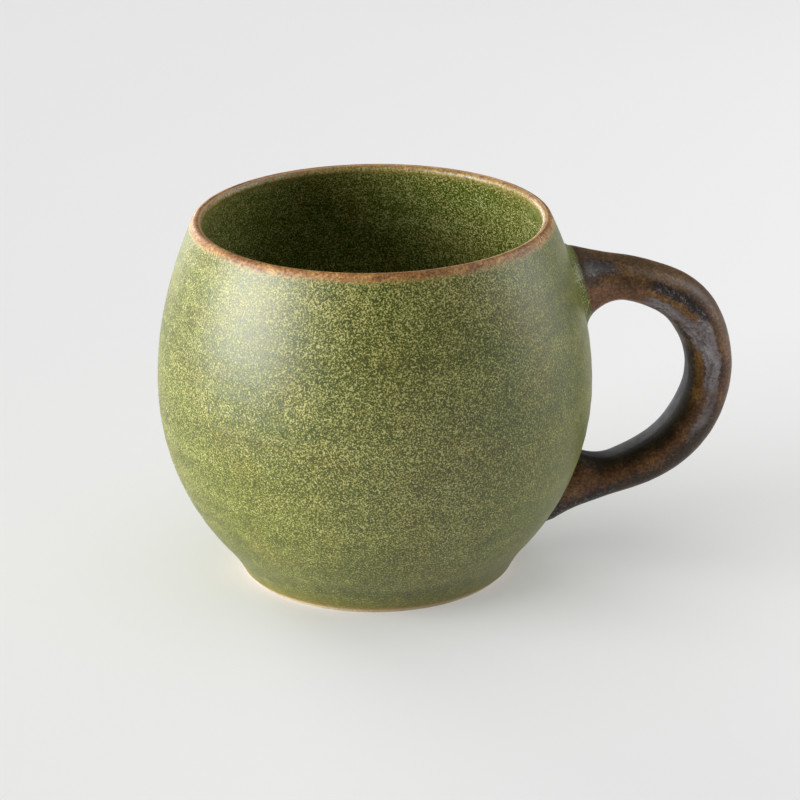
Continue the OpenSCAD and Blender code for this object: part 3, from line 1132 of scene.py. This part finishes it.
def make_world(strength, backdrop):
    """Even light from all round. The backdrop that is seen behind the floor has its own grey."""
    world = bpy.data.worlds.new("studio")
    world.use_nodes = True
    nodes, links = world.node_tree.nodes, world.node_tree.links
    light = nodes["Background"]
    light.inputs["Color"].default_value = (1, 1, 1, 1)
    light.inputs["Strength"].default_value = strength
    seen = nodes.new("ShaderNodeBackground")
    seen.inputs["Color"].default_value = (1, 1, 1, 1)
    seen.inputs["Strength"].default_value = backdrop
    choice = nodes.new("ShaderNodeMixShader")
    links.new(nodes.new("ShaderNodeLightPath").outputs["Is Camera Ray"], choice.inputs[0])
    links.new(light.outputs[0], choice.inputs[1])
    links.new(seen.outputs[0], choice.inputs[2])
    links.new(choice.outputs[0], nodes["World Output"].inputs[0])
    bpy.context.scene.world = world


def floor_group(floor, name, state):
    """A group for a lamp's light linking that picks the floor, or all but the floor."""
    group = bpy.data.collections.new(name)
    group.objects.link(floor)
    group.collection_objects[0].light_linking.link_state = state
    return group


def light_scene(floor):
    """The mug is lit from its left, from behind and from its right. The floor has its own lamps."""
    make_world(strength=0.12, backdrop=0.79)
    not_floor = floor_group(floor, "all_but_floor", "EXCLUDE")
    only_floor = floor_group(floor, "floor_only", "INCLUDE")
    for lamp in (
        soft_box("key_left", turn=286, rise=14, width=1.7, height=1.0, radiance=15.6),
        soft_box("back_left", turn=210, rise=8, width=1.05, height=0.55, radiance=13.6),
        soft_box("high_right", turn=106, rise=32, width=1.05, height=0.85, radiance=6.8),
        soft_box("low_right", turn=100, rise=8, width=1.05, height=0.55, radiance=3.3),
    ):
        lamp.light_linking.receiver_collection = not_floor
    for lamp in (
        soft_box("floor_left", turn=286, rise=14, width=1.7, height=1.0, radiance=6.6),
        soft_box("floor_back", turn=210, rise=8, width=1.05, height=0.55, radiance=13.6),
        soft_box("floor_top", turn=0, rise=90, width=2.4, height=2.4, radiance=0.72, distance=1.6),
    ):
        lamp.light_linking.receiver_collection = only_floor
    wash = soft_box("floor_wash", turn=92, rise=25, width=0.6, height=0.5, radiance=17.0, distance=1.35)
    wash.light_linking.receiver_collection = only_floor
    wash.light_linking.blocker_collection = only_floor
    view = bpy.context.scene.view_settings
    view.view_transform = "Standard"
    view.look = "None"


# ---- Putting it together ----


def place(piece, material, slot, *nodes):
    piece.data.materials.append(material)
    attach(piece, "root")
    if nodes:
        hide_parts(*nodes)


def make_mug():
    rings, lengths = strap_rings()
    handle_coat, clay_rings = strap_coat(rings, lengths)
    first = FILLET_ROWS // 2
    last = len(clay_rings) - 1 - FILLET_ROWS // 2
    clay_rings = clay_rings[:, ::-1]
    strap = solid("handle_clay", clay_rings[first:last + 1],
                  clay_rings[first].mean(axis=0), clay_rings[last].mean(axis=0))
    upper_slip = slip_pad("upper_joint_slip_pad", clay_rings[:first + 1])
    lower_slip = slip_pad("lower_joint_slip_pad", clay_rings[last:][::-1, ::-1])

    outer = green_coat([root_outline(rings[0]), root_outline(rings[-1])])
    place(outer, green_material("green_glaze"), "green_glaze", "outer_glaze")
    place(rim_coat(), green_material("rim_glaze"), "rim_glaze", "rim_glaze")
    place(liner_coat(), liner_material(), "liner_glaze", "liner_glaze")
    place(base_coat(), liner_material(), "liner_glaze", "base_glaze")
    place(handle_coat, handle_material(), "handle_glaze", "handle_glaze")
    clay = clay_material("clay", srgb(200, 188, 156), srgb(164, 148, 116))
    place(clay_cup(), clay, "clay", "cup_body")
    place(strap, clay, "clay", "handle")
    slip = clay_material("slip", srgb(214, 200, 176), srgb(178, 160, 134))
    place(upper_slip, slip, "joint_slip", "upper_joint_slip")
    place(lower_slip, slip, "joint_slip", "lower_joint_slip")


make_mug()
light_scene(make_floor())
make_camera()
